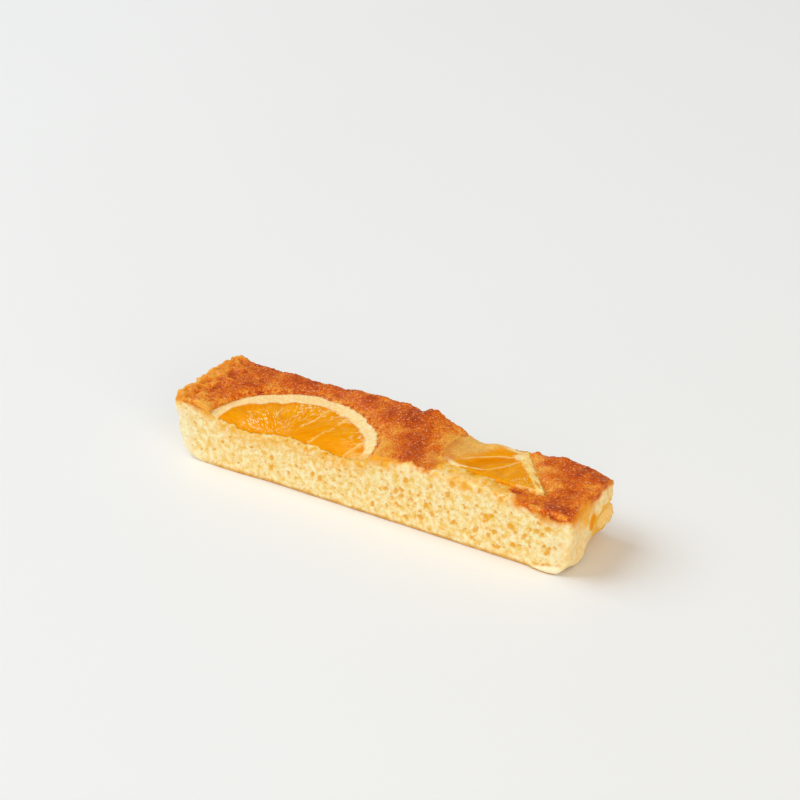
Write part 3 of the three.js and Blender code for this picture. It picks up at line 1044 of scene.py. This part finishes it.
# The pale dots laid last on the crust are painted glints on the sugar
top = coats(tree, linear("f1b44e"), [*browning, (sugar_and_painted_glint, linear("e4a47c"))])
colour = coats(tree, crumb, [(mask["soak"], linear("f5b028")), (mask["crust"], top)])
rough = add(tree, "ShaderNodeMix", {0: mask["crust"], 2: 0.85, 3: 0.38})[0]
bumps = add(tree, "ShaderNodeBump", {"Strength": 0.45, "Distance": 0.2 * MM, "Height": grit})[0]
surface = add(tree, "ShaderNodeBsdfPrincipled", {
    "Base Color": colour, "Roughness": rough, "Normal": bumps, "IOR": 1.4, "Specular IOR Level": 0.15,
    "Subsurface Weight": 0.6, "Subsurface Radius": (1.0, 0.7, 0.35), "Subsurface Scale": 1.6 * MM,
})
add(tree, "ShaderNodeOutputMaterial", {"Surface": surface[0]})
sponge.data.materials.append(sponge_material)
print("material:", sponge_material.name)

# %% Orange: patterns of pith and film
# Baked slice of orange, cut with a knife: the eye sees clear deep orange flesh with bright flecks that are
# partly painted glints, in dull milky pith
PITH_MOTTLE = 0.9 * MM
FILM_GRIT = 0.5 * MM

orange_material, tree = new_material("baked_orange_slice")
mask = {
    name: add(tree, "ShaderNodeAttribute", {}, attribute_name=name)[2]
    for name in ("pith", "membrane", "fibre", "wall", "random", "fleck", "film", "rim", "deep", "run", "turn")
}
place = add(tree, "ShaderNodeTexCoord", {})[3]
fine = add(tree, "ShaderNodeTexNoise", {"Vector": place, "Scale": 1 / PITH_MOTTLE, "Detail": 2.0})[0]
spread = add(tree, "ShaderNodeMapRange", {0: fine, 1: 0.3, 2: 0.7})[0]
grit = add(tree, "ShaderNodeTexNoise", {"Vector": place, "Scale": 1 / FILM_GRIT, "Detail": 2.0})[0]
film_grain = add(tree, "ShaderNodeMapRange", {0: grit, 1: 0.3, 2: 0.7})[0]
wall_tint = add(tree, "ShaderNodeMath", {0: mask["wall"], 1: 0.2}, operation="MULTIPLY")[0]
tint = add(tree, "ShaderNodeMath", {0: mask["random"], 1: 0.6}, operation="MULTIPLY")[0]
deep_tint = add(tree, "ShaderNodeMath", {0: mask["deep"], 1: 0.55}, operation="MULTIPLY")[0]
print("nodes for the patterns:", len(tree.nodes))

# %% Orange: streaks, and flecks with painted glints, along the sacs
DASH_LENGTH = 1.6
DASH_ANGLE = 1.5
STREAKS_FROM = 9
STREAKS_FULL = 22

run = add(tree, "ShaderNodeMath", {0: mask["run"], 1: RUN_SPAN / DASH_LENGTH}, operation="MULTIPLY")[0]
turn = add(tree, "ShaderNodeMath", {0: mask["turn"], 1: 360 / DASH_ANGLE}, operation="MULTIPLY")[0]
straight = add(tree, "ShaderNodeCombineXYZ", {0: run, 1: turn})[0]
stir = add(tree, "ShaderNodeTexNoise", {"Vector": straight, "Scale": 0.4})[1]
along = add(tree, "ShaderNodeVectorMath", {
    0: stir, 1: (1.6, 1.6, 0), 2: straight,
}, operation="MULTIPLY_ADD")[0]

streaks = add(tree, "ShaderNodeTexNoise", {"Vector": along, "Scale": 0.7, "Detail": 2.0})[0]
streak = add(tree, "ShaderNodeMapRange", {0: streaks, 1: 0.35, 2: 0.7, 4: 0.6})[0]
far = add(tree, "ShaderNodeMapRange", {
    0: mask["run"], 1: STREAKS_FROM / RUN_SPAN, 2: STREAKS_FULL / RUN_SPAN,
})[0]
streak_tint = add(tree, "ShaderNodeMath", {0: streak, 1: far}, operation="MULTIPLY")[0]

# Painted glints: pale dashes along the sacs, shown only where flecks are painted
dashes = add(tree, "ShaderNodeTexVoronoi", {"Vector": along, "Scale": 1.0})
dash = add(tree, "ShaderNodeMapRange", {0: dashes[0], 1: 0.48, 2: 0.22})[0]
picked = add(tree, "ShaderNodeMath", {0: dashes[1], 1: 0.38}, operation="GREATER_THAN")[0]
shown = add(tree, "ShaderNodeMath", {0: picked, 1: mask["fleck"]}, operation="MULTIPLY")[0]
glint = add(tree, "ShaderNodeMath", {0: dash, 1: shown}, operation="MULTIPLY")[0]
print("flecks are", DASH_LENGTH, "mm apart along a sac")

# %% Orange: colours and surface
strands = coats(tree, linear("f6c04c"), [(film_grain, linear("ffe8a0"))])
veil = coats(tree, linear("e49a30"), [(film_grain, linear("facc74"))])
milky = coats(tree, linear("fad084"), [(spread, linear("ffeab6"))])
colour = coats(tree, linear("ed9200"), [
    (tint, linear("f6a806")),
    (streak_tint, linear("f4a60a")),
    (deep_tint, linear("e48000")),
    (wall_tint, linear("f8b828")),
    (glint, linear("fff0b8")),
    (mask["film"], veil),
    (mask["fibre"], strands),
    (mask["membrane"], linear("f9cd7c")),
    (mask["pith"], milky),
    (mask["rim"], linear("cf7428")),
])
dry = add(tree, "ShaderNodeMath", {0: mask["pith"], 1: mask["film"]}, operation="MAXIMUM")[0]
rough = add(tree, "ShaderNodeMix", {0: dry, 2: 0.2, 3: 0.55})[0]
bumps = add(tree, "ShaderNodeBump", {"Strength": 0.3, "Distance": 0.15 * MM, "Height": fine})[0]
surface = add(tree, "ShaderNodeBsdfPrincipled", {
    "Base Color": colour, "Roughness": rough, "Normal": bumps, "IOR": 1.38, "Specular IOR Level": 0.03,
    "Subsurface Weight": 0.4, "Subsurface Radius": (1.0, 0.5, 0.15), "Subsurface Scale": 1.2 * MM,
})
add(tree, "ShaderNodeOutputMaterial", {"Surface": surface[0]})
for piece in (left_slice, right_slice, end_piece):
    piece.data.materials.append(orange_material)
print("material:", orange_material.name)

# %% [markdown]
# ## Into the frame
#
# On the real bar the fruit is baked into the sponge, so nothing moves on its own. Every piece rides on the
# part's one body and stands for the solid that it was copied from.

# %% Ride and replace
for piece, node, slot in (
    (sponge, "sponge", "baked_sponge"),
    (left_slice, "orange_slice_left", "orange_fruit"),
    (right_slice, "orange_slice_right", "orange_fruit"),
    (end_piece, "orange_piece_end", "orange_fruit"),
):
    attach(piece, "root")
    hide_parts(node)
    print(piece.name, "triangles:", sum(len(polygon.vertices) - 2 for polygon in piece.data.polygons))
